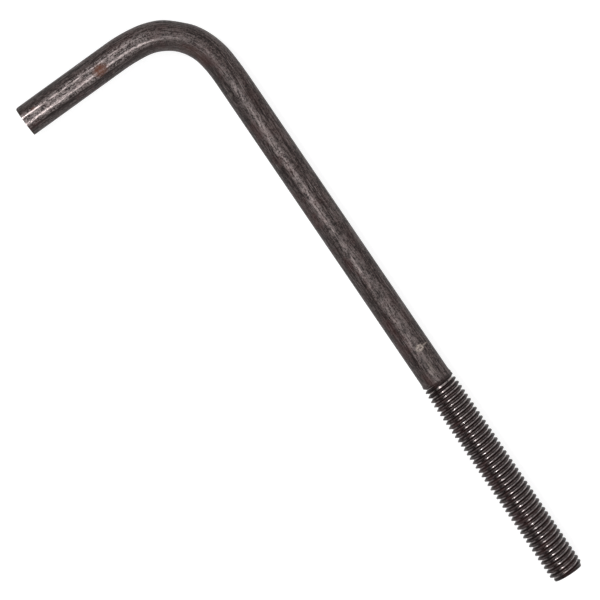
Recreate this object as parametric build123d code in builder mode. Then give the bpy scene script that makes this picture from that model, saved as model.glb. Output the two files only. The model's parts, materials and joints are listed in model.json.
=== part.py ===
"""L-shaped anchor bolt: one bar of hot-rolled steel, bent at one end and thread-rolled at the other.

Frame, in millimetres: the bolt lies flat, its shank along X with the thread towards +X and its hook
towards -Y.  Z is up, z = 0 is the surface that it lies on, and the origin is under the middle of its box.
"""
import os
from math import ceil, cos, pi, radians, sin

from build123d import *

os.makedirs("parts", exist_ok=True)

# the bar: an M10 foundation bolt, 200 long and 60 deep outside, on bar of the thread's pitch diameter
rod_radius = 4.52
corner_to_thread_end = 194.9  # along the shank, from where the two centrelines would cross
corner_to_hook_tip = 55.65
tip_rollover = 0.8  # how far the sheared tip is rounded over on the outside of the hook

# the bend: a tight middle arc with an easing arc on each side of it
turn = 91.67
easing_turn = 10.0
easing_radius = 46.8
bend_radius = 18.0
crown_narrowing = 0.07  # share of the section lost at the crown, in the plane of the bend
crown_swelling = 0.03  # share gained there, across the plane of the bend
bend_stations = 7

# the rolled thread, right-handed: crests and roots are sharp, and stand at their real radii
pitch = 1.5
thread_radius = 5.0
thread_depth = 0.92
thread_length = 66.0  # up to the bolt's end, pilot included
first_root = -1.3 * pitch  # where the screw's first root passes over the top of the bar, from the thread's start
runout_length = 1.2  # the first groove comes up to the shank's surface over this length
entry_length = 0.7  # the first crest rises out of the shank over this length

# the thread's end: a short plain pilot, with a cone up to the full crest
pilot_radius = 4.4
pilot_length = 1.0
pilot_chamfer = 0.3
lead_length = 0.6

root_radius = thread_radius - thread_depth
pilot_start = thread_length - pilot_length
bend_arcs = (
    (easing_radius, easing_turn),
    (bend_radius, turn - 2 * easing_turn),
    (easing_radius, easing_turn),
)


def unit(heading):
    """The direction at a heading in degrees from +X, in the plane of the bend."""
    return Vector(cos(radians(heading)), sin(radians(heading)))


def bend_rise():
    """How far the bend carries the centreline sideways from the leg that it starts on."""
    rise, turned = 0, 0
    for radius, angle in bend_arcs:
        rise += radius * (cos(radians(turned)) - cos(radians(turned + angle)))
        turned += angle
    return rise


# the two legs, as they run out from the corner
tangent_length = bend_rise() / sin(radians(turn))  # where each leg becomes straight
hook_heading = 180 + turn
hook_out = unit(hook_heading)

# the corner's place, which puts the origin under the middle of the box
easing_centre = tangent_length * hook_out + easing_radius * unit(hook_heading + 90)
box_left = easing_centre.X - easing_radius - rod_radius
box_front = corner_to_hook_tip * hook_out.Y - rod_radius * abs(hook_out.X)
corner = Vector(-(box_left + corner_to_thread_end) / 2, -(box_front + thread_radius) / 2, thread_radius)

shank_axis = Axis(corner, (1, 0, 0))
bend_start = corner + Vector(tangent_length, 0, 0)
thread_end = corner + Vector(corner_to_thread_end, 0, 0)
thread_start = thread_end - Vector(thread_length, 0, 0)
hook_tip = corner + corner_to_hook_tip * hook_out


def bend_station(share):
    """The plane across the bar at a share of the way round the bend, from the shank to the hook."""
    along = share * sum(radius * radians(angle) for radius, angle in bend_arcs)
    place, heading = bend_start, 180
    for radius, angle in bend_arcs:
        run = min(along, radius * radians(angle))
        centre = place + radius * unit(heading + 90)
        heading += run / radius * 180 / pi
        place = centre - radius * unit(heading + 90)
        along -= run
    return Plane(origin=place, x_dir=unit(heading + 90), z_dir=unit(heading))


def on_axis(along):
    """The point on the shank's axis at a distance along X."""
    return Vector(along, corner.Y, corner.Z)


def helix_turn(radius, start):
    """One right-handed turn round the shank's axis, from start along X."""
    return Edge.make_helix(pitch, pitch, radius, center=on_axis(start), normal=(1, 0, 0))


def screw_cap(start):
    """The two faces that close a screw: a ramp from its root in to the axis, and the step beside it."""
    axis_run = Edge.make_line(on_axis(start), on_axis(start + pitch))
    rim = helix_turn(root_radius, start)
    crest = helix_turn(thread_radius, start + pitch / 2)
    step = Wire.make_polygon([axis_run @ 0, rim @ 0, crest @ 0, rim @ 1, axis_run @ 1], close=True)
    return [Face.make_surface_from_curves(axis_run, rim), Face(step)]


def screw(start, turns):
    """A threaded bar, closed at both ends, with one strip for each flank of each turn."""
    faces = screw_cap(start) + screw_cap(start + turns * pitch)
    for number in range(turns):
        root = start + number * pitch
        crest_edge = helix_turn(thread_radius, root + pitch / 2)
        faces.append(Face.make_surface_from_curves(helix_turn(root_radius, root), crest_edge))
        faces.append(Face.make_surface_from_curves(crest_edge, helix_turn(root_radius, root + pitch)))
    return Solid(Shell(faces))


def turned_outline(*points):
    """A closed outline of (distance from the thread's start, radius) points."""
    return Polyline(*[(thread_start.X + along, radius) for along, radius in points], close=True)


# the threaded length: the screw, cut off and tapered at both ends
with BuildPart() as thread:
    add(screw(thread_start.X + first_root, ceil(thread_length / pitch) + 2))
    with BuildSketch(Plane(origin=on_axis(0))):
        with BuildLine():
            turned_outline(
                (0, 0),
                (0, rod_radius),
                (entry_length, thread_radius),
                (pilot_start - lead_length, thread_radius),
                (pilot_start, pilot_radius),
                (pilot_start, 0),
            )
        make_face()
    revolve(axis=shank_axis, mode=Mode.INTERSECT)

with BuildPart() as anchor_bolt:
    # the bend, with its section narrowed at the crown
    for number in range(bend_stations):
        share = number / (bend_stations - 1)
        crown = sin(pi * share) ** 3
        with BuildSketch(bend_station(share)):
            Ellipse(rod_radius * (1 - crown_narrowing * crown), rod_radius * (1 + crown_swelling * crown))
    loft()

    # the plain shank and the hook's straight leg
    with BuildSketch(Plane(origin=bend_start, z_dir=(1, 0, 0))):
        Circle(rod_radius)
    extrude(amount=thread_start.X - bend_start.X)
    with BuildSketch(bend_station(1)):
        Circle(rod_radius)
    extrude(amount=corner_to_hook_tip - tangent_length)

    # the outer corner of the sheared tip
    with BuildSketch(Plane(origin=hook_tip, x_dir=hook_out)):
        with Locations((-tip_rollover / 2, tip_rollover / 2 - rod_radius)):
            Rectangle(tip_rollover, tip_rollover)
        with Locations((-tip_rollover, tip_rollover - rod_radius)):
            Circle(tip_rollover, mode=Mode.SUBTRACT)
    extrude(amount=rod_radius, both=True, mode=Mode.SUBTRACT)

    # the thread, the fade-out of its first groove and the plain pilot at its end
    add(thread.part)
    with BuildSketch(Plane(origin=on_axis(0))):
        with BuildLine():
            turned_outline((0, 0), (0, rod_radius), (runout_length, root_radius), (runout_length, 0))
        make_face()
    revolve(axis=shank_axis)
    with BuildSketch(Plane(origin=thread_end, z_dir=(-1, 0, 0))):
        Circle(pilot_radius)
    extrude(amount=pilot_length)
    chamfer(anchor_bolt.edges().sort_by(Axis.X)[-1], pilot_chamfer)

anchor_bolt.part.label = "anchor_bolt"
export_step(anchor_bolt.part, "parts/anchor_bolt.step")
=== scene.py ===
"""The look of an L-shaped anchor bolt: one bar of hot-rolled steel under dark mill scale.

The bar is bent into a hook at one end and thread-rolled at the other. Every length is in metres,
in the same frame as the solid: the bolt lies on z = 0, its shank along X with the thread towards
+X, its hook towards -Y.
"""

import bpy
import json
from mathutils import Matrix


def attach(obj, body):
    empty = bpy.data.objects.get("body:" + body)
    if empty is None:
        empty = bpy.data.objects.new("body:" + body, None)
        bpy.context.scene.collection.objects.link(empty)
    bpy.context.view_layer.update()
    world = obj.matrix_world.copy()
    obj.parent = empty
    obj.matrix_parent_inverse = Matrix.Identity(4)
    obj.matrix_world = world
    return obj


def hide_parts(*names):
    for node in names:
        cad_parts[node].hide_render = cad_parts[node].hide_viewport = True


bl_info = {
    "name": "L-shaped anchor bolt",
    "version": (1, 0, 0),
    "blender": (4, 5, 0),
    "location": "3D View > Sidebar > Anchor Bolt",
    "description": "Models a bent and thread-rolled anchor bolt, with a studio to show it in",
    "category": "Add Mesh",
}

import json
from math import atan2, cos, hypot, pi, radians, sin, sqrt, tan

import bmesh
import bpy
from bpy.props import FloatProperty, FloatVectorProperty, IntProperty, PointerProperty
from bpy.types import Operator, Panel, PropertyGroup
from mathutils import Matrix, Vector, noise

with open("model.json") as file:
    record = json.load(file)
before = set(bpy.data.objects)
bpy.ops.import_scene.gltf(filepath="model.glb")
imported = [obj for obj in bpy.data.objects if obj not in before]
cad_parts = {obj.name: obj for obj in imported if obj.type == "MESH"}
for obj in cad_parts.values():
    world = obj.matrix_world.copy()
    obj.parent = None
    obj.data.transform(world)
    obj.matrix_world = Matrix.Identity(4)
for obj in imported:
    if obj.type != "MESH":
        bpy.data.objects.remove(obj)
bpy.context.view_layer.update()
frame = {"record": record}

NODE = "anchor_bolt"
BODY = "root"
MM = 0.001
STRAIGHT = "straight_bar"  # where a point would be if the bar had never been bent
MOUNTS = {mount["name"]: mount for mount in frame["record"]["mounts"]}


def mount_place(name):
    """The middle of one of the record's mounts."""
    return Vector(MOUNTS[name]["pos_m"])


def mount_end(name, side):
    """One end of a mount's length: side is -1 or 1 along its axis."""
    mount = MOUNTS[name]
    return mount_place(name) + Vector(mount["axis"]) * side * mount["dims"]["length_mm"] * MM / 2


THREAD_END = mount_place("end_face")
SHANK_END = mount_end("shank", 1)
BEND_START = mount_end("shank", -1)
HOOK_END = mount_end("hook", 1)
HOOK_LENGTH = MOUNTS["hook"]["dims"]["length_mm"] * MM
TRIM = 0.04 * MM  # what the hook is cut short by, to stay inside the solid
BEND_SHIFT = 0.11 * MM  # how far before the end of the solid's shank the bend starts
THREAD_JOIN = 2.6 * MM  # how far before the thread the plain bar's mesh stops
JOIN_GAP = 0.6 * MM  # between the plain bar's mesh and the thread's, before they are bridged


# --- what a user may change -----------------------------------------------------------------


def length(name, description, default):
    return FloatProperty(name=name, description=description, default=default, min=0.0,
                         subtype="DISTANCE", unit="LENGTH", precision=5)


def colour(name, description, default):
    return FloatVectorProperty(name=name, description=description, default=default, size=3,
                               min=0.0, max=1.0, subtype="COLOR")


def factor(name, description, default):
    return FloatProperty(name=name, description=description, default=default, min=0.0, max=1.0,
                         subtype="FACTOR")


def power(name, description, default):
    return FloatProperty(name=name, description=description, default=default, min=0.0, subtype="POWER")


def rotation(name, description, default):
    return FloatProperty(name=name, description=description, default=radians(default),
                         subtype="ANGLE", unit="ROTATION")


class BoltSizes(PropertyGroup):
    """Sizes of the bar, its bend and its thread."""

    rod_radius: length("Bar radius", "Radius of the bar before it is threaded", 0.00452)
    thread_radius: length("Crest radius", "Radius over the thread's crests", 0.00499)
    thread_depth: length("Thread depth", "How far the roots lie under the crests", 0.00088)
    pitch: length("Pitch", "Distance from crest to crest", 0.0015)
    root_rounding: length("Root rounding", "Radius at the bottom of the grooves", 0.00018)
    crest_rounding: length("Crest rounding", "Radius at each edge of the crests", 0.00006)
    pilot_radius: length("Pilot radius", "Radius of the plain end past the thread", 0.00446)
    pilot_length: length("Pilot length", "Length of the plain end past the thread", 0.001)
    bend_radius: length("Bend radius", "Centreline radius of the bend's tight arc", 0.018)
    easing_radius: length("Easing radius", "Centreline radius at each side of it", 0.0468)
    turn: rotation("Turn", "How far the hook turns from the shank", 91.67)
    easing_turn: rotation("Easing turn", "Turn of each easing arc", 10.0)
    crown_swelling: factor("Crown swelling", "Share of height gained at the bend's crown", 0.03)
    tip_rollover: length("Tip rollover", "Rounding of the sheared tip, outside the hook", 0.0011)
    sides: IntProperty(name="Sides", description="Facets round the bar", default=96, min=24)


class BoltFinish(PropertyGroup):
    """Colours of the steel and of what lies on it."""

    scale_dark: colour("Dark scale", "Deepest tone of the mill scale", (0.0125, 0.0077, 0.0071))
    scale_pale: colour("Pale scale", "Lightest tone of the mill scale", (0.082, 0.058, 0.054))
    thread_dark: colour("Dark thread", "Deepest tone on the rolled thread", (0.0084, 0.0030, 0.0028))
    thread_pale: colour("Pale thread", "Lightest tone on the rolled thread", (0.0375, 0.0215, 0.0198))
    bright_steel: colour("Bright steel", "Steel where the scale has worn off", (0.56, 0.48, 0.468))
    sheared_steel: colour("Sheared steel", "Steel of the cut ends", (0.16, 0.135, 0.13))
    root_steel: colour("Thread roots", "Steel that the dies left bright in the roots", (0.62, 0.56, 0.55))
    rust: colour("Rust", "Orange-brown rust", (0.165, 0.062, 0.036))
    blush: colour("Blush", "Faint reddish tint in the scale", (0.085, 0.036, 0.034))
    deposit: colour("Deposit", "Pale dried marks", (0.47, 0.40, 0.355))


class BoltStudio(PropertyGroup):
    """The floor and lights."""

    floor: colour("Floor", "Colour of the floor", (0.38, 0.38, 0.38))
    key_power: power("Key light", "Power of the light past the thread", 1.35)
    side_power: power("Side light", "Power of the light beyond the bend", 1.35)
    strip_power: power("Strip light", "Power of the long overhead light", 1.85)
    fill_power: power("Fill light", "Power of the broad light beside the thread", 1.65)
    back_power: power("Back light", "Power of the broad light beside the bend", 2.35)
    soft_power: power("Soft light", "Power of the wide overhead light", 1.2)


# --- shape ----------------------------------------------------------------------------------


def verts_of(geometry):
    return [part for part in geometry if isinstance(part, bmesh.types.BMVert)]


def edges_of(geometry):
    return [part for part in geometry if isinstance(part, bmesh.types.BMEdge)]


def smooth(low, high, value):
    """0 below low, 1 above high, with an eased rise between."""
    share = min(max((value - low) / (high - low), 0.0), 1.0)
    return share * share * (3 - 2 * share)


def eased(points, value):
    """Follows (place, height) points, easing from one to the next."""
    if value <= points[0][0]:
        return points[0][1]
    for (low, start), (high, end) in zip(points, points[1:]):
        if value <= high:
            return start + (end - start) * smooth(low, high, value)
    return points[-1][1]


# Share of the bar's radius that is left at places round the bend, 0 at the hook and 1 at the
# shank: the bending die flattened the outside, and the inside drew in.
OUTSIDE = ((0.0, 1.0), (0.28, 0.977), (0.36, 0.985), (0.50, 0.917), (0.60, 0.957), (0.70, 0.957),
           (0.85, 0.993), (0.93, 0.979), (1.1, 1.0))
INSIDE = ((0.1, 1.0), (0.36, 0.965), (0.52, 0.941), (0.68, 0.957), (0.8, 0.974), (1.0, 1.0))


# A cut end is closed with rings drawn in to these shares of its radius.
END_RINGS = (0.97, 0.91, 0.83, 0.74, 0.64, 0.53, 0.42, 0.31, 0.2, 0.1)


def close_end(bm, edges, middle):
    """Shuts a round opening with rings and a last small face, and returns the rings."""
    rings = []
    size = 1.0
    for share in END_RINGS:
        made = bmesh.ops.extrude_edge_only(bm, edges=edges)
        edges = edges_of(made["geom"])
        rings.append(verts_of(made["geom"]))
        bmesh.ops.scale(bm, verts=rings[-1], vec=Vector((1, 1, 1)) * share / size,
                        space=Matrix.Translation(-middle))
        size = share
    bmesh.ops.contextual_create(bm, geom=edges)
    return rings


class Bar:
    """A tube that grows ring by ring: it knows where it has got to and which way it heads."""

    def __init__(self, bm, sizes, place, heading):
        self.bm = bm
        self.place = place.copy()
        self.heading = heading
        self.straight = place.x
        turned = Matrix.Rotation(pi / 2, 4, "Y")
        made = bmesh.ops.create_circle(bm, cap_ends=False, segments=sizes.sides,
                                       radius=sizes.rod_radius,
                                       matrix=Matrix.Translation(place) @ turned)
        self.verts = made["verts"]
        self.edges = list(dict.fromkeys(edge for vert in self.verts for edge in vert.link_edges))
        self.first_edges = self.edges
        self.rings = []
        self.note_ring()

    def forward(self):
        return Vector((cos(self.heading), sin(self.heading), 0))

    def outward(self):
        return Vector((sin(self.heading), -cos(self.heading), 0))

    def note_ring(self):
        self.rings.append((self.straight, self.place.copy(), self.outward(), self.verts))

    def take(self, geometry):
        self.verts = verts_of(geometry)
        self.edges = edges_of(geometry)

    def run(self, distance, steps):
        """Goes straight on."""
        for _ in range(steps):
            step = self.forward() * distance / steps
            made = bmesh.ops.extrude_edge_only(self.bm, edges=self.edges)
            self.take(made["geom"])
            bmesh.ops.translate(self.bm, verts=self.verts, vec=step)
            self.place += step
            self.straight -= distance / steps
            self.note_ring()

    def bend(self, radius, angle, steps):
        """Turns to the left."""
        middle = self.place - self.outward() * radius
        for _ in range(steps):
            made = bmesh.ops.spin(self.bm, geom=self.verts + self.edges, cent=middle,
                                  axis=(0, 0, 1), angle=angle / steps, steps=1,
                                  use_merge=False, use_duplicate=False)
            self.take(made["geom_last"])
            self.heading += angle / steps
            self.place = middle + self.outward() * radius
            self.straight -= radius * angle / steps
            self.note_ring()

    def close(self):
        """Shuts the tube where it has got to."""
        for ring in close_end(self.bm, self.edges, self.place):
            self.verts = ring
            self.note_ring()


def build_bar(bm, sizes, join):
    """The shank from the thread back to the bend, the bend, and the hook's leg with its tip."""
    bar = Bar(bm, sizes, join, pi)
    bend_from = BEND_START.x + BEND_SHIFT
    bar.run(join.x - bend_from, steps=66)
    tight_turn = sizes.turn - 2 * sizes.easing_turn
    bar.bend(sizes.easing_radius, sizes.easing_turn, steps=12)
    bar.bend(sizes.bend_radius, tight_turn, steps=34)
    bar.bend(sizes.easing_radius, sizes.easing_turn, steps=12)
    bend_to = bar.straight
    near_tip = 4 * sizes.tip_rollover
    bar.run(HOOK_LENGTH - TRIM - near_tip, steps=18)
    bar.run(near_tip - sizes.tip_rollover, steps=3)
    bar.run(sizes.tip_rollover, steps=5)
    tip = bar.straight
    bar.close()
    store = bm.verts.layers.float_vector[STRAIGHT]
    for straight, place, outward, verts in bar.rings:
        share = (straight - bend_to) / (bend_from - bend_to)
        swell = 1 + sizes.crown_swelling * sin(pi * min(max(share, 0), 1)) ** 3
        for vert in verts:
            offset = vert.co - place
            across, up = offset.dot(outward), offset.z
            vert[store] = (straight, across, up)
            across *= eased(OUTSIDE if across > 0 else INSIDE, share)
            back = 0.0
            if straight < tip + near_tip:
                back = tip_set_back(sizes, straight - tip, across, up)
                back += torn(sizes.rod_radius, across, up)
            vert.co = place + outward * across + Vector((0, 0, up * swell))
            vert.co += Vector((outward.y, -outward.x, 0)) * back
    return bar


def torn(radius, across, up):
    """How deep the sheared end is torn at a point of it: nothing at its rim."""
    inward = smooth(1.0, 0.8, hypot(across, up) / radius)
    rough = noise.noise(Vector((across, up * 0.6, 0.002)) / (0.9 * MM))
    return (0.05 + 0.07 * rough + 0.06 * smooth(-0.3, 0.5, up / radius)) * MM * inward


TIP_LEAN = 0.16 * MM  # how much further back the hook's sheared tip stands at the top


def tip_set_back(sizes, behind, across, up):
    """How far the sheared tip's slope and rollover push a point back along the bar."""
    slope = TIP_LEAN * (1 + up / sizes.rod_radius) / 2
    inside = max(across - (sizes.rod_radius - sizes.tip_rollover), 0.0)
    drop = sizes.tip_rollover - sqrt(max(sizes.tip_rollover ** 2 - inside ** 2, 0.0))
    return max(drop - behind, 0.0) + slope * smooth(4 * sizes.tip_rollover, 0, behind)


SLOPE = radians(60)  # of the thread's flanks, from the bar's axis


def crest_flat(sizes):
    """How far the flat of a crest reaches from its middle."""
    roundings = sizes.crest_rounding + sizes.root_rounding
    flank = (sizes.thread_depth - roundings * (1 - cos(SLOPE))) / tan(SLOPE)
    return sizes.pitch / 2 - flank - roundings * sin(SLOPE)


def groove(sizes, from_crest):
    """Depth of the thread under its crest, at a distance along the bar from the crest's middle."""
    crest, root = sizes.crest_rounding, sizes.root_rounding
    place = from_crest - crest_flat(sizes)
    if place <= 0:
        return 0.0
    if place < crest * sin(SLOPE):
        return crest - sqrt(crest ** 2 - place ** 2)
    from_root = sizes.pitch / 2 - from_crest
    if from_root < root * sin(SLOPE):
        return sizes.thread_depth - root + sqrt(root ** 2 - from_root ** 2)
    return crest * (1 - cos(SLOPE)) + (place - crest * sin(SLOPE)) * tan(SLOPE)


def pitch_marks(sizes):
    """Where the thread needs rows of points, as distances along one pitch from a crest."""
    flat, half = crest_flat(sizes), sizes.pitch / 2
    crest_edge = [flat + sizes.crest_rounding * sin(SLOPE * share) for share in (0, 1 / 2, 1)]
    root_edge = [half - sizes.root_rounding * sin(SLOPE * share) for share in (1, 2 / 3, 1 / 3, 0)]
    marks = crest_edge + root_edge
    return marks + [sizes.pitch - mark for mark in reversed(marks[:-1])]


END_LEAN = (0.021, 0.055)  # how the thread's sheared end slopes out, away from the hook and down
END_TRIM = 0.006 * MM  # what that end is cut short by, to stay inside the solid
CREST_AT = 0.037935  # where a crest passes the side away from the hook
LEAD_LENGTH = 0.6 * MM  # of the cone between the last full crest and the pilot
PILOT_CHAMFER = 0.3 * MM  # length of the chamfer at the pilot's end


def thread_radius_at(sizes, place, angle):
    """Radius of the rolled thread at a place along X and an angle round the bar."""
    start, end = SHANK_END.x, THREAD_END.x
    pilot = end - sizes.pilot_length
    full, rod, pilot_radius = sizes.thread_radius, sizes.rod_radius, sizes.pilot_radius
    turns = (place - CREST_AT) / sizes.pitch - angle / (2 * pi)
    from_crest = abs(turns - round(turns)) * sizes.pitch
    # the crest rises out of the shank as the first groove comes in
    crest = eased(((start - 1.8 * MM, rod), (start - 0.6 * MM, rod + 0.20 * MM),
                   (start + 0.8 * MM, rod + 0.30 * MM), (start + 2.4 * MM, full - 0.08 * MM),
                   (start + 3.9 * MM, full)), place)
    depth = smooth(start - 0.75 * MM, start + 0.35 * MM, place)
    radius = crest - depth * groove(sizes, from_crest)
    # the cone down to the pilot, the pilot and its chamfer
    lead = eased(((pilot - LEAD_LENGTH, full), (pilot, pilot_radius),
                  (end - PILOT_CHAMFER, pilot_radius - 0.10 * MM),
                  (end, pilot_radius - 0.35 * MM)), place)
    plain = smooth(pilot - 0.25 * MM, pilot + 0.05 * MM, place)
    return min(radius, lead) * (1 - plain) + lead * plain


def sweep_screw(bm, sizes, axis, start):
    """Sweeps a line of points round the axis as a screw, with a row for each edge of the thread."""
    marks = pitch_marks(sizes)
    first = int((start - CREST_AT) / sizes.pitch) - 3
    last = int((THREAD_END.x - CREST_AT) / sizes.pitch) + 3
    begin = Vector((CREST_AT + first * sizes.pitch - marks[0], sizes.rod_radius, 0))
    line, edges = [bm.verts.new(axis + begin)], []
    for turn in range(first, last):
        for mark in marks:
            made = bmesh.ops.extrude_vert_indiv(bm, verts=[line[-1]])
            new = made["verts"][0]
            new.co.x = CREST_AT + turn * sizes.pitch + mark
            line.append(new)
            edges += made["edges"]
    bmesh.ops.spin(bm, geom=line + edges, cent=axis, axis=(1, 0, 0),
                   dvec=(sizes.pitch / sizes.sides, 0, 0), angle=2 * pi, steps=sizes.sides,
                   use_merge=False, use_duplicate=False)


def cut_off(bm, verts, place, normal):
    """Cuts away what lies past a plane, and returns the edges of the cut."""
    edges = dict.fromkeys(edge for vert in verts for edge in vert.link_edges)
    faces = dict.fromkeys(face for vert in verts for face in vert.link_faces)
    made = bmesh.ops.bisect_plane(bm, geom=verts + list(edges) + list(faces), dist=0.001 * MM,
                                  plane_co=place, plane_no=normal, clear_outer=True,
                                  use_snap_center=True)
    return edges_of(made["geom_cut"])


def build_thread(bm, sizes, join):
    """The threaded length: a screw, cut off at both ends and rolled to form."""
    before = set(bm.verts)

    def own_verts():
        return [vert for vert in bm.verts if vert not in before]

    axis = Vector((0, join.y, join.z))
    sweep_screw(bm, sizes, axis, join.x)
    bmesh.ops.remove_doubles(bm, verts=own_verts(), dist=0.01 * MM)
    start_edges = cut_off(bm, own_verts(), join, (-1, 0, 0))
    middle = THREAD_END - Vector((sizes.pilot_radius * hypot(*END_LEAN) + END_TRIM, 0, 0))
    end_edges = cut_off(bm, own_verts(), middle, Vector((1, -END_LEAN[0], END_LEAN[1])))
    for vert in own_verts():
        offset = vert.co - axis
        angle = atan2(offset.z, offset.y)
        radius = thread_radius_at(sizes, vert.co.x, angle)
        vert.co.y = axis.y + radius * cos(angle)
        vert.co.z = axis.z + radius * sin(angle)
    for ring in close_end(bm, end_edges, middle):
        for vert in ring:
            vert.co.x -= torn(sizes.pilot_radius, vert.co.y - axis.y, vert.co.z - axis.z)
    store = bm.verts.layers.float_vector[STRAIGHT]
    for vert in own_verts():
        vert[store] = (vert.co.x, vert.co.y - axis.y, vert.co.z - axis.z)
    return start_edges


SHARP = radians(45)  # a fold steeper than this stays an edge when the rest is shaded smooth
SQUARE_ON = 0.9  # how much of the bar's own direction the normals of a cut end's faces have


def is_cut_face(face):
    """True for the faces of the two sheared ends."""
    middle = face.calc_center_median()
    if middle.x > 0:
        return middle.x > THREAD_END.x - 0.6 * MM and face.normal.x > SQUARE_ON
    return middle.y < HOOK_END.y + 0.3 * MM and face.normal.y < -SQUARE_ON


def build_bolt(scene, sizes):
    """One closed mesh of the whole bolt."""
    bm = bmesh.new()
    bm.verts.layers.float_vector.new(STRAIGHT)
    bar_end = SHANK_END - Vector((THREAD_JOIN, 0, 0))
    bar = build_bar(bm, sizes, bar_end)
    start_edges = build_thread(bm, sizes, bar_end + Vector((JOIN_GAP, 0, 0)))
    bmesh.ops.bridge_loops(bm, edges=bar.first_edges + start_edges)
    bmesh.ops.recalc_face_normals(bm, faces=bm.faces)
    for face in bm.faces:
        face.smooth = True
        face.material_index = int(is_cut_face(face))
    for edge in bm.edges:
        if len(edge.link_faces) == 2 and edge.calc_face_angle() > SHARP:
            edge.smooth = False
    mesh = bpy.data.meshes.new(NODE + "_detailed")
    bm.to_mesh(mesh)
    bm.free()
    piece = bpy.data.objects.new("anchor_bolt_bar", mesh)
    scene.collection.objects.link(piece)
    return piece


# --- finish ---------------------------------------------------------------------------------


class Nodes:
    """Adds nodes to a tree. What works out a value returns the socket that holds it."""

    def __init__(self, tree):
        self.tree = tree

    def wire(self, source, target):
        """Joins an output to an input, or sets the input to a plain value."""
        if isinstance(source, bpy.types.NodeSocket):
            self.tree.links.new(source, target)
        elif hasattr(source, "__len__") and len(source) == 3 and len(target.default_value) == 4:
            target.default_value = (*source, 1.0)
        else:
            target.default_value = source

    def add(self, kind, inputs=None, **settings):
        node = self.tree.nodes.new(kind)
        for key, value in settings.items():
            setattr(node, key, value)
        for key, value in (inputs or {}).items():
            self.wire(value, node.inputs[key])
        return node

    def maths(self, operation, *values):
        return self.add("ShaderNodeMath", dict(enumerate(values)), operation=operation).outputs[0]

    def vector(self, operation, *values, output="Vector"):
        node = self.add("ShaderNodeVectorMath", dict(enumerate(values)), operation=operation)
        return node.outputs[output]

    def scaled(self, vector, by):
        node = self.add("ShaderNodeVectorMath", {0: vector, "Scale": by}, operation="SCALE")
        return node.outputs["Vector"]

    def combined(self, x=0.0, y=0.0, z=0.0):
        return self.add("ShaderNodeCombineXYZ", {"X": x, "Y": y, "Z": z}).outputs[0]

    def ramp(self, value, low, high, out_low=0.0, out_high=1.0, eased_ramp=True):
        """Goes from one level to another as a value rises from low to high."""
        inputs = {"Value": value, "From Min": low, "From Max": high, "To Min": out_low, "To Max": out_high}
        kind = "SMOOTHSTEP" if eased_ramp else "LINEAR"
        return self.add("ShaderNodeMapRange", inputs, interpolation_type=kind).outputs["Result"]

    def band(self, value, low, high, soft):
        """1 between low and high, falling off over soft on each side."""
        rise = self.ramp(value, low - soft, low + soft)
        return self.times(rise, self.ramp(value, high - soft, high + soft, 1.0, 0.0))

    # A Mix node numbers its sockets through all of its data types: 2 and 3 take numbers and 6 and 7
    # take colours, and the numbers come out of 0 and the colours out of 2.

    def blended(self, share, first, second):
        """A number between two numbers."""
        inputs = {"Factor": share, 2: first, 3: second}
        return self.add("ShaderNodeMix", inputs, data_type="FLOAT").outputs[0]

    def mixed(self, share, first, second):
        """A colour between two colours."""
        inputs = {"Factor": share, 6: first, 7: second}
        return self.add("ShaderNodeMix", inputs, data_type="RGBA").outputs[2]

    def weighed(self, *parts):
        """A sum of (weight, value) parts."""
        total = 0.0
        for weight, value in parts:
            total = self.maths("MULTIPLY_ADD", value, weight, total)
        return total

    def times(self, first, *others):
        for other in others:
            first = self.maths("MULTIPLY", first, other)
        return first

    def highest(self, first, *others):
        for other in others:
            first = self.maths("MAXIMUM", first, other)
        return first

    def rest_of(self, share):
        return self.maths("SUBTRACT", 1.0, share)


def new_group(name, inputs, outputs):
    """A new shader node group: its nodes, what it is given and what it puts out.

    inputs are (name, kind, default), outputs are (name, kind).
    """
    tree = bpy.data.node_groups.new(name, "ShaderNodeTree")
    for label, kind, default in inputs:
        socket = tree.interface.new_socket(name=label, in_out="INPUT", socket_type="NodeSocket" + kind)
        if default is not None:
            socket.default_value = default
    for label, kind in outputs:
        tree.interface.new_socket(name=label, in_out="OUTPUT", socket_type="NodeSocket" + kind)
    nodes = Nodes(tree)
    return nodes, nodes.add("NodeGroupInput").outputs, nodes.add("NodeGroupOutput").inputs


def streak_group():
    """Fine marks drawn out along the bar. Place is in millimetres on the straight bar."""
    nodes, given, out = new_group(
        "drawn_streaks",
        [("Place", "Vector", None), ("Length", "Float", 8.0), ("Width", "Float", 0.5),
         ("Seed", "Float", 0.0)],
        [("Value", "Float")])
    thinness = nodes.maths("DIVIDE", 1.0, given["Width"])
    squeeze = nodes.combined(nodes.maths("DIVIDE", 1.0, given["Length"]), thinness, thinness)
    place = nodes.vector("MULTIPLY", given["Place"], squeeze)
    wave = nodes.add("ShaderNodeTexNoise", noise_dimensions="4D", inputs={
        "Vector": place, "W": given["Seed"], "Scale": 1.0, "Detail": 3.0, "Roughness": 0.6})
    nodes.wire(wave.outputs["Fac"], out["Value"])
    return nodes.tree


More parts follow.
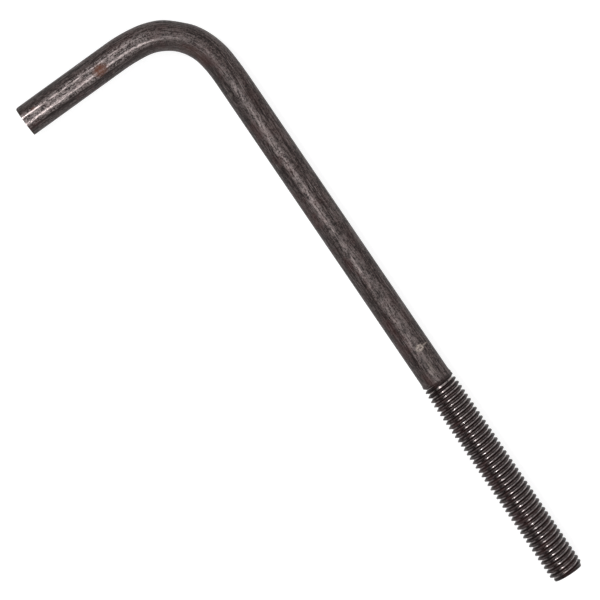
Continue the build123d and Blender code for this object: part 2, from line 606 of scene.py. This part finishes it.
def grain_group():
    """Grains and small patches of scale, the same size in every direction."""
    nodes, given, out = new_group(
        "scale_grain",
        [("Place", "Vector", None), ("Size", "Float", 0.6), ("Seed", "Float", 0.0),
         ("Crystals", "Float", 0.0)],
        [("Value", "Float")])
    place = nodes.scaled(given["Place"], nodes.maths("DIVIDE", 1.0, given["Size"]))
    wave = nodes.add("ShaderNodeTexNoise", noise_dimensions="4D", inputs={
        "Vector": place, "W": given["Seed"], "Scale": 1.0, "Detail": 3.5, "Roughness": 0.68})
    cells = nodes.add("ShaderNodeTexVoronoi", voronoi_dimensions="4D", inputs={
        "Vector": place, "W": given["Seed"], "Scale": 1.7})
    cell = nodes.add("ShaderNodeSeparateColor", {"Color": cells.outputs["Color"]}).outputs["Red"]
    cell = nodes.ramp(cell, 0.0, 1.0, 0.3, 0.7, eased_ramp=False)
    nodes.wire(nodes.blended(given["Crystals"], wave.outputs["Fac"], cell), out["Value"])
    return nodes.tree


def patch_group():
    """A soft-edged patch on the bar, with its edge broken up by Ragged."""
    nodes, given, out = new_group(
        "patch_mask",
        [("Place", "Vector", None), ("Centre", "Vector", None), ("Reach", "Vector", (1.0, 1.0, 1.0)),
         ("Ragged", "Float", 0.0), ("Softness", "Float", 0.3)],
        [("Mask", "Float"), ("Distance", "Float")])
    away = nodes.vector("SUBTRACT", given["Place"], given["Centre"])
    away = nodes.vector("DIVIDE", away, given["Reach"])
    distance = nodes.maths("ADD", nodes.vector("LENGTH", away, output="Value"), given["Ragged"])
    inside = nodes.rest_of(given["Softness"])
    outside = nodes.maths("ADD", 1.0, given["Softness"])
    nodes.wire(nodes.ramp(distance, inside, outside, 1.0, 0.0), out["Mask"])
    nodes.wire(distance, out["Distance"])
    return nodes.tree


class Surface(Nodes):
    """A material in the making. Its places are those of the unbent bar, in millimetres."""

    def __init__(self, name, groups):
        self.material = bpy.data.materials.new(name)
        self.material.use_nodes = True
        super().__init__(self.material.node_tree)
        self.shader = self.tree.nodes["Principled BSDF"]
        self.groups = groups
        source = self.add("ShaderNodeAttribute", attribute_name=STRAIGHT)
        self.place = self.scaled(source.outputs["Vector"], 1 / MM)
        self.along, self.across, self.up = self.add("ShaderNodeSeparateXYZ", {"Vector": self.place}).outputs
        self.radial = self.vector("LENGTH", self.combined(self.across, self.up), output="Value")

    def use(self, name, **inputs):
        """Places one of the groups on the bar."""
        inputs.setdefault("Place", self.place)
        return self.add("ShaderNodeGroup", inputs, node_tree=self.groups[name]).outputs

    def streaks(self, length, width, seed=0.0, **others):
        return self.use("streaks", Length=length, Width=width, Seed=seed, **others)["Value"]

    def grain(self, size, seed, crystals=0.0):
        return self.use("grain", Size=size, Seed=seed, Crystals=crystals)["Value"]

    def patches(self, spots, ragged, softness):
        """The mask and the strength of each (centre, reach, strength) spot."""
        for centre, reach, strength in spots:
            patch = self.use("patch", Centre=centre, Reach=reach, Ragged=ragged, Softness=softness)
            yield patch["Mask"], strength

    def complete(self, bump_distance, height, **inputs):
        """Joins what was worked out to the shader, and returns the material."""
        for key, source in inputs.items():
            self.wire(source, self.shader.inputs[key.replace("_", " ")])
        bump = self.add("ShaderNodeBump", {"Strength": 1.0, "Distance": bump_distance, "Height": height})
        self.wire(bump.outputs["Normal"], self.shader.inputs["Normal"])
        return self.material


# Spots on the upper side: where on the unbent bar, how far they reach, both in millimetres, and
# how strong they are.
RUST_SPOTS = (
    ((-115.9, -1.3, 4.3), (2.0, 1.5, 2.0), 1.0),
    ((-137.6, 1.0, 4.4), (0.7, 0.3, 2.0), 0.8),
    ((-84.0, -3.2, 3.2), (5.0, 1.3, 2.0), 0.15),
)
PALE_MARKS = (
    ((-66.9, -2.9, 3.4), (0.6, 0.4, 2.0), 0.15),
    ((28.6, 0.45, 4.4), (1.8, 0.8, 2.0), 0.14),
    ((22.0, 2.7, 3.6), (0.22, 0.9, 2.0), 0.5),
)
RING_MARK = ((22.17, 0.92, 4.4), (1.05, 1.2, 2.0))
BARE_SPOTS = (
    ((-68.0, -1.1, 4.4), (1.7, 0.7, 2.0), 0.34),
    ((-45.3, -0.6, 4.4), (0.22, 0.5, 2.0), 0.9),
    ((-6.0, -0.9, 4.4), (3.5, 0.5, 2.0), 0.5),
    ((19.1, -0.5, 4.4), (0.5, 0.25, 2.0), 0.5),
    ((-30.1, 2.0, 4.0), (4.2, 0.1, 2.0), 0.4),
)


class BoltSkin(Surface):
    """The bolt's skin: mill scale, with its worn, rusty and stained places, and painted shade on the bar's
    sides and in the thread.
    """

    def __init__(self, finish, groups):
        super().__init__("mill_scale_steel", groups)
        self.finish = finish
        self.top = self.ramp(self.up, 0.0, 1.5)
        self.threaded = self.ramp(self.along, SHANK_END.x / MM - 0.9, SHANK_END.x / MM + 0.5)
        self.plain = self.rest_of(self.threaded)
        self.long_streak = self.streaks(11.0, 0.6)
        self.short_streak = self.streaks(2.4, 0.45, seed=3.0)
        self.grains = self.grain(0.6, seed=1.0)
        self.specks = self.grain(0.42, seed=27.3, crystals=0.42)
        self.blotch = self.grain(5.0, seed=5.0)
        self.ragged = self.weighed((1.6, self.grains), (-0.8, 1.0))
        wander = self.weighed((0.9, self.short_streak), (0.5, self.long_streak), (-0.7, 1.0))
        self.edge = self.maths("ADD", self.across, wander)

    def scale_tone(self):
        """How pale the scale is: pitted, with painted shade darkening the bar's two sides, and even inside
        the bend.
        """
        tone = self.weighed((0.15, self.long_streak), (0.22, self.short_streak), (0.25, self.grains),
                            (0.33, self.specks), (0.05, self.blotch))
        tone = self.ramp(tone, 0.461, 0.547, eased_ramp=False)
        pits = self.streaks(1.3, 0.42, seed=11.0)
        tone = self.times(tone, self.ramp(pits, 0.57, 0.66, 1.0, 0.15))
        # Painted shade: the scale is darkened on the side towards the inside of the bend and on the outer
        # side of the hook's far part.
        inner_side_shade = self.ramp(self.across, -2.6, -1.5, 1.0, 0.0)
        outer_side_shade = self.times(self.ramp(self.across, 1.9, 2.9),
                                self.ramp(self.along, -112.0, -100.0, 1.0, 0.0))
        tone = self.times(tone, self.ramp(self.highest(inner_side_shade, outer_side_shade), 0.0, 1.0, 1.0, 0.66))
        pressed = self.times(self.band(self.along, -106.0, -74.0, 5.0),
                             self.ramp(self.across, -2.4, -1.4, 0.7, 0.0))
        return self.blended(pressed, tone, 0.36)

    def scale_colour(self):
        """Scale on the bar, and a darker one on the thread, with painted shade darkening its flanks down in
        the grooves.
        """
        tone = self.scale_tone()
        on_bar = self.mixed(tone, self.finish.scale_dark, self.finish.scale_pale)
        on_thread = self.mixed(tone, self.finish.thread_dark, self.finish.thread_pale)
        # Painted shade: the flanks between roots and crests are darkened as if shaded in the grooves.
        flank = self.band(self.radial, 4.22, 4.84, 0.06)
        on_thread = self.mixed(self.times(flank, 0.7), on_thread, self.finish.thread_dark)
        return self.mixed(self.threaded, on_bar, on_thread)

    def bright_roots(self):
        """Where the dies left the thread's roots bright."""
        return self.times(self.ramp(self.radial, 4.14, 4.24, 1.0, 0.0), self.threaded,
                          self.ramp(self.along, 98.0, 98.6, 1.0, 0.0),
                          self.ramp(self.specks, 0.30, 0.50, 0.75, 1.0))

    def root_painted_shade(self):
        """Painted shade: how far the bright roots are darkened towards both sides of the thread."""
        near = self.times(self.ramp(self.across, -3.2, -2.6, 0.58, 0.85),
                          self.ramp(self.across, -2.1, -1.5, 1.0, 0.0))
        return self.highest(near, self.ramp(self.across, 0.7, 1.5, 0.0, 0.28))

    def worn_crests(self):
        return self.times(self.ramp(self.radial, 4.90, 4.96), self.threaded,
                          self.ramp(self.specks, 0.42, 0.60, 0.03, 0.24))

    def worn_shank(self):
        """The shank's upper side, rubbed a little and scratched."""
        by_bend = self.band(self.edge, -1.75, 0.0, 0.8)
        by_thread = self.times(self.band(self.edge, -1.1, 1.5, 1.1), 0.62)
        rubbed = self.blended(self.ramp(self.along, -30.0, 5.0), by_bend, by_thread)
        rubbed = self.times(rubbed, self.ramp(self.blotch, 0.38, 0.58, 0.28, 0.60),
                            self.ramp(self.along, -74.0, -66.0, 0.4, 1.0))
        rubbed = self.weighed((1.0, rubbed), (0.14, self.ramp(self.long_streak, 0.42, 0.58)), (0.02, 1.0))
        fine = self.weighed((0.5, self.specks), (0.5, self.short_streak))
        rubbed = self.times(self.ramp(fine, 0.385, 0.615), rubbed, self.top, self.plain)
        scratches = self.streaks(7.0, 0.3, seed=14.0)
        scratches = self.times(self.ramp(scratches, 0.60, 0.68), 0.4, self.top, self.plain)
        worn = self.highest(rubbed, scratches)
        for patch, strength in self.patches(BARE_SPOTS, self.ragged, 0.45):
            broken = self.ramp(self.specks, 0.40, 0.56, 0.1 * strength, strength)
            worn = self.highest(worn, self.times(patch, broken))
        return worn

    def worn_hook(self):
        """The hook's upper side, worn through the scale in grains."""
        hook = self.times(self.ramp(self.along, -110.0, -93.0, 1.0, 0.35),
                          self.ramp(self.along, -86.0, -68.0, 1.0, 0.0))
        upper = self.times(self.band(self.edge, -2.8, 1.5, 0.3), self.top, hook)
        flecks = self.weighed((0.7, self.specks), (0.3, self.short_streak))
        return self.times(upper, self.ramp(flecks, 0.460, 0.562, 0.02, 0.52))

    def hook_lines(self):
        """The two lines drawn bright along the hook, and the short one at its tip."""
        drawn = self.weighed((1.0, self.across), (0.5, self.short_streak), (-0.25, 1.0))
        inner_line = self.times(self.band(drawn, -1.90, -1.20, 0.18),
                                self.ramp(self.along, -107.0, -87.0, 1.0, 0.0),
                                self.ramp(self.along, -112.0, -106.0, 1.0, 0.75),
                                self.ramp(self.long_streak, 0.36, 0.43, 0.45, 1.0))
        outer_line = self.times(self.band(drawn, 0.24, 0.60, 0.13),
                                self.ramp(self.along, -112.0, -90.0, 1.0, 0.0),
                                self.ramp(self.short_streak, 0.42, 0.52, 0.2, 0.9))
        tip_line = self.times(self.band(self.across, 0.40, 0.76, 0.1),
                              self.ramp(self.along, -135.8, -134.8, 1.0, 0.0))
        lines = self.times(self.highest(inner_line, outer_line),
                           self.ramp(self.specks, 0.43, 0.50, 0.28, 1.0))
        return self.times(self.highest(lines, tip_line), self.top)

    def rust_cover(self):
        rust = 0.0
        for patch, strength in self.patches(RUST_SPOTS, self.ragged, 0.55):
            rust = self.highest(rust, self.times(patch, strength))
        return self.times(rust, self.ramp(self.grains, 0.35, 0.6, 0.5, 0.95))

    def dried_marks(self):
        """The pale dried marks, and the ring near the thread."""
        marks = 0.0
        for patch, strength in self.patches(PALE_MARKS, self.ragged, 0.45):
            marks = self.highest(marks, self.times(patch, strength))
        clumps = self.weighed((1.4, self.grains), (1.2, self.specks), (-1.3, 1.0))
        centre, reach = RING_MARK
        ring = self.use("patch", Centre=centre, Reach=reach, Ragged=clumps)["Distance"]
        ring = self.times(self.band(ring, 0.22, 0.95, 0.22), self.ramp(self.specks, 0.40, 0.54, 0.3, 1.0))
        return self.highest(marks, ring)

    def build(self):
        finish = self.finish
        root, lines = self.bright_roots(), self.hook_lines()
        bare = self.highest(self.worn_hook(), lines, self.worn_shank(), root, self.worn_crests())
        rust, marks = self.rust_cover(), self.dried_marks()

        colour = self.mixed(bare, self.scale_colour(), finish.bright_steel)
        colour = self.mixed(root, colour, finish.root_steel)
        # Painted shade: the bright roots darkened towards the thread's two sides.
        colour = self.mixed(self.times(root, self.root_painted_shade()), colour, finish.thread_dark)
        dark_line = self.times(self.band(self.edge, -3.3, -2.95, 0.14), self.top,
                               self.ramp(self.along, -114.0, -106.0, 1.0, 0.0))
        colour = self.mixed(self.times(dark_line, 0.8), colour, finish.scale_dark)
        blush = self.times(self.ramp(self.blotch, 0.48, 0.62),
                           self.ramp(self.across, -2.5, 1.0, 0.34, 0.14))
        colour = self.mixed(blush, colour, finish.blush)
        colour = self.mixed(rust, colour, finish.rust)
        colour = self.mixed(marks, colour, finish.deposit)

        covered = self.highest(rust, marks)
        rough = self.ramp(self.grains, 0.35, 0.65, 0.62, 0.44)
        levels = ((self.threaded, 0.42), (bare, 0.31), (lines, 0.25), (root, 0.245), (covered, 0.85))
        for share, level in levels:
            rough = self.blended(share, rough, level)
        height = self.weighed((0.4, self.grains), (0.5, self.short_streak), (0.4, self.specks))
        smoother_roots = self.weighed((-0.9, root), (1.0, 1.0))
        return self.complete(
            bump_distance=0.06 * MM,
            height=self.times(self.maths("SUBTRACT", height, 0.65), smoother_roots),
            Base_Color=colour,
            Metallic=self.times(bare, self.rest_of(covered), 0.95),
            Roughness=rough,
            Specular_IOR_Level=0.21)


def cut_material(finish, groups):
    """Grey torn steel on the sheared ends, scored by the blade and sliced clean along one edge."""
    cut = Surface("sheared_steel", groups)
    turned = cut.combined(cut.up, cut.across, cut.along)
    scores = cut.streaks(6.0, 0.4, seed=2.0, Place=turned)
    grains = cut.grain(0.5, seed=4.0, crystals=0.5)
    blotch = cut.grain(2.2, seed=9.0)
    torn_tone = cut.weighed((0.45, scores), (0.35, grains), (0.2, blotch))
    torn_tone = cut.ramp(torn_tone, 0.41, 0.59, eased_ramp=False)
    wavy = cut.weighed((1.0, cut.up), (3.0, blotch), (-1.5, 1.0))
    sliced = cut.times(cut.ramp(wavy, -1.9, -1.3, 1.0, 0.0), cut.ramp(scores, 0.40, 0.56, 0.55, 1.0))
    tone = cut.highest(cut.times(torn_tone, 0.75), sliced)
    colour = cut.mixed(tone, finish.scale_pale, finish.sheared_steel)
    rim = cut.ramp(cut.radial, 3.9, 4.4)
    colour = cut.mixed(cut.times(rim, 0.75), colour, finish.scale_dark)
    stain = cut.weighed((0.5, blotch), (0.3, scores), (0.2, grains))
    stain = cut.times(cut.ramp(stain, 0.49, 0.60), 0.55)
    return cut.complete(
        bump_distance=0.08 * MM,
        height=cut.weighed((0.6, scores), (0.4, grains)),
        Base_Color=cut.mixed(stain, colour, finish.rust),
        Metallic=cut.times(cut.ramp(tone, 0.0, 1.0, 0.35, 0.75), cut.rest_of(stain)),
        Roughness=cut.ramp(grains, 0.35, 0.65, 0.62, 0.42))


# --- studio ---------------------------------------------------------------------------------


CAMERA_OVER = Vector((-0.00797, 0.00598, 0.0))  # the point on the floor under the camera
CAMERA_HEIGHT = 0.5271
CAMERA_TURN = radians(55.7774)
VIEW_WIDTH = 0.17055  # what the camera sees from side to side, level with the bar's axis
SENSOR = 36.0  # width in millimetres
FLOOR_RADIUS = 9.0
FLOOR_RIM = 2.0
SKY_STRENGTH = 0.035
AIM = Vector((0, 0, 0.006))  # what every lamp points at


def build_camera(scene):
    """A camera over the bolt that looks straight down."""
    data = bpy.data.cameras.new("studio_camera")
    camera = bpy.data.objects.new("studio_camera", data)
    scene.collection.objects.link(camera)
    camera.location = CAMERA_OVER + Vector((0, 0, CAMERA_HEIGHT))
    camera.rotation_euler = (0, 0, CAMERA_TURN)
    data.sensor_width = SENSOR
    data.lens = SENSOR * (CAMERA_HEIGHT - SHANK_END.z) / VIEW_WIDTH
    data.clip_start = 0.01
    data.clip_end = 20
    scene.camera = camera


def build_lamp(scene, name, place, power, size, size_y=None):
    """A round lamp, or with size_y an oblong one, that shines at the bolt."""
    data = bpy.data.lights.new(name, "AREA")
    data.shape = "RECTANGLE" if size_y else "DISK"
    data.size = size
    if size_y:
        data.size_y = size_y
    data.energy = power
    lamp = bpy.data.objects.new(name, data)
    scene.collection.objects.link(lamp)
    lamp.location = place
    lamp.rotation_euler = (AIM - lamp.location).to_track_quat("-Z", "Y").to_euler()


def floor_material(studio):
    """A pale floor that takes shadows, and that the camera sees as white."""
    material = bpy.data.materials.new("pale_floor")
    material.use_nodes = True
    nodes = Nodes(material.node_tree)
    nodes.tree.nodes.clear()
    plain = nodes.add("ShaderNodeBsdfDiffuse", {"Color": studio.floor})
    path = nodes.add("ShaderNodeLightPath").outputs
    seen = nodes.highest(path["Is Camera Ray"], path["Is Glossy Ray"], path["Is Transmission Ray"])
    far = nodes.vector("LENGTH", nodes.add("ShaderNodeTexCoord").outputs["Object"], output="Value")
    glow = nodes.times(seen, nodes.ramp(far, 0.4, 2.0, 0.825, 1.0))
    glow = nodes.add("ShaderNodeEmission", {"Color": (1, 1, 1), "Strength": glow})
    both = nodes.add("ShaderNodeAddShader", {0: plain.outputs[0], 1: glow.outputs[0]})
    nodes.add("ShaderNodeOutputMaterial", {"Surface": both.outputs[0]})
    return material


def build_floor(scene, studio):
    """A wide round floor with a low rim, which hides the far edge from a low camera."""
    bm = bmesh.new()
    bmesh.ops.create_circle(bm, cap_ends=True, segments=96, radius=FLOOR_RADIUS)
    rim = [edge for edge in bm.edges if edge.is_boundary]
    made = bmesh.ops.extrude_edge_only(bm, edges=rim)
    bmesh.ops.translate(bm, verts=verts_of(made["geom"]), vec=(0, 0, FLOOR_RIM))
    mesh = bpy.data.meshes.new("studio_floor")
    bm.to_mesh(mesh)
    bm.free()
    mesh.materials.append(floor_material(studio))
    floor = bpy.data.objects.new("studio_floor", mesh)
    scene.collection.objects.link(floor)


def build_world(scene):
    """A faint even light from all round."""
    world = scene.world or bpy.data.worlds.new("studio_world")
    scene.world = world
    world.use_nodes = True
    sky = world.node_tree.nodes["Background"]
    sky.inputs["Color"].default_value = (1.0, 1.0, 1.0, 1.0)
    sky.inputs["Strength"].default_value = SKY_STRENGTH


def build_stage(scene, studio):
    """The floor, the faint sky, six lamps and the camera."""
    build_floor(scene, studio)
    build_world(scene)
    build_lamp(scene, "key_light", (0.36, -0.25, 0.8), studio.key_power, 0.09)
    build_lamp(scene, "side_light", (-0.437, -0.25, 0.8), studio.side_power, 0.10)
    build_lamp(scene, "strip_light", (0.0, -0.25, 0.8), studio.strip_power, 1.5, 0.10)
    build_lamp(scene, "fill_light", (0.55, 0.50, 0.60), studio.fill_power, 0.6, 0.6)
    build_lamp(scene, "back_light", (-0.50, 0.62, 0.60), studio.back_power, 1.0, 1.0)
    build_lamp(scene, "soft_light", (0.0, -0.07, 0.8), studio.soft_power, 1.2, 0.36)
    build_camera(scene)
    scene.view_settings.view_transform = "Standard"


# --- add-on ---------------------------------------------------------------------------------


class ANCHOR_BOLT_OT_bolt(Operator):
    """Model the bolt in place of the plain CAD solid"""

    bl_idname = "anchor_bolt.bolt"
    bl_label = "Anchor Bolt"

    def execute(self, context):
        scene = context.scene
        piece = build_bolt(scene, scene.bolt_sizes)
        groups = {"streaks": streak_group(), "grain": grain_group(), "patch": patch_group()}
        piece.data.materials.append(BoltSkin(scene.bolt_finish, groups).build())
        piece.data.materials.append(cut_material(scene.bolt_finish, groups))
        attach(piece, BODY)
        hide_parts(NODE)
        return {"FINISHED"}


class ANCHOR_BOLT_OT_stage(Operator):
    """Set up the floor, the lights and the camera"""

    bl_idname = "anchor_bolt.stage"
    bl_label = "Studio"

    def execute(self, context):
        build_stage(context.scene, context.scene.bolt_studio)
        return {"FINISHED"}


class ANCHOR_BOLT_PT_panel(Panel):
    """Lists what can be built and what can be changed"""

    bl_idname = "ANCHOR_BOLT_PT_panel"
    bl_label = "Anchor Bolt"
    bl_space_type = "VIEW_3D"
    bl_region_type = "UI"
    bl_category = "Anchor Bolt"

    def draw(self, context):
        scene = context.scene
        listed = ((ANCHOR_BOLT_OT_bolt, (scene.bolt_sizes, scene.bolt_finish)),
                  (ANCHOR_BOLT_OT_stage, (scene.bolt_studio,)))
        for operator, settings in listed:
            self.layout.operator(operator.bl_idname)
            for setting in settings:
                for key in setting.__annotations__:
                    self.layout.prop(setting, key)


CLASSES = (BoltSizes, BoltFinish, BoltStudio,
           ANCHOR_BOLT_OT_bolt, ANCHOR_BOLT_OT_stage, ANCHOR_BOLT_PT_panel)


def register():
    for made in CLASSES:
        bpy.utils.register_class(made)
    bpy.types.Scene.bolt_sizes = PointerProperty(type=BoltSizes)
    bpy.types.Scene.bolt_finish = PointerProperty(type=BoltFinish)
    bpy.types.Scene.bolt_studio = PointerProperty(type=BoltStudio)


def unregister():
    del bpy.types.Scene.bolt_studio
    del bpy.types.Scene.bolt_finish
    del bpy.types.Scene.bolt_sizes
    for made in reversed(CLASSES):
        bpy.utils.unregister_class(made)


def main():
    register()
    bpy.ops.anchor_bolt.bolt()
    bpy.ops.anchor_bolt.stage()


if __name__ == "__main__":
    main()
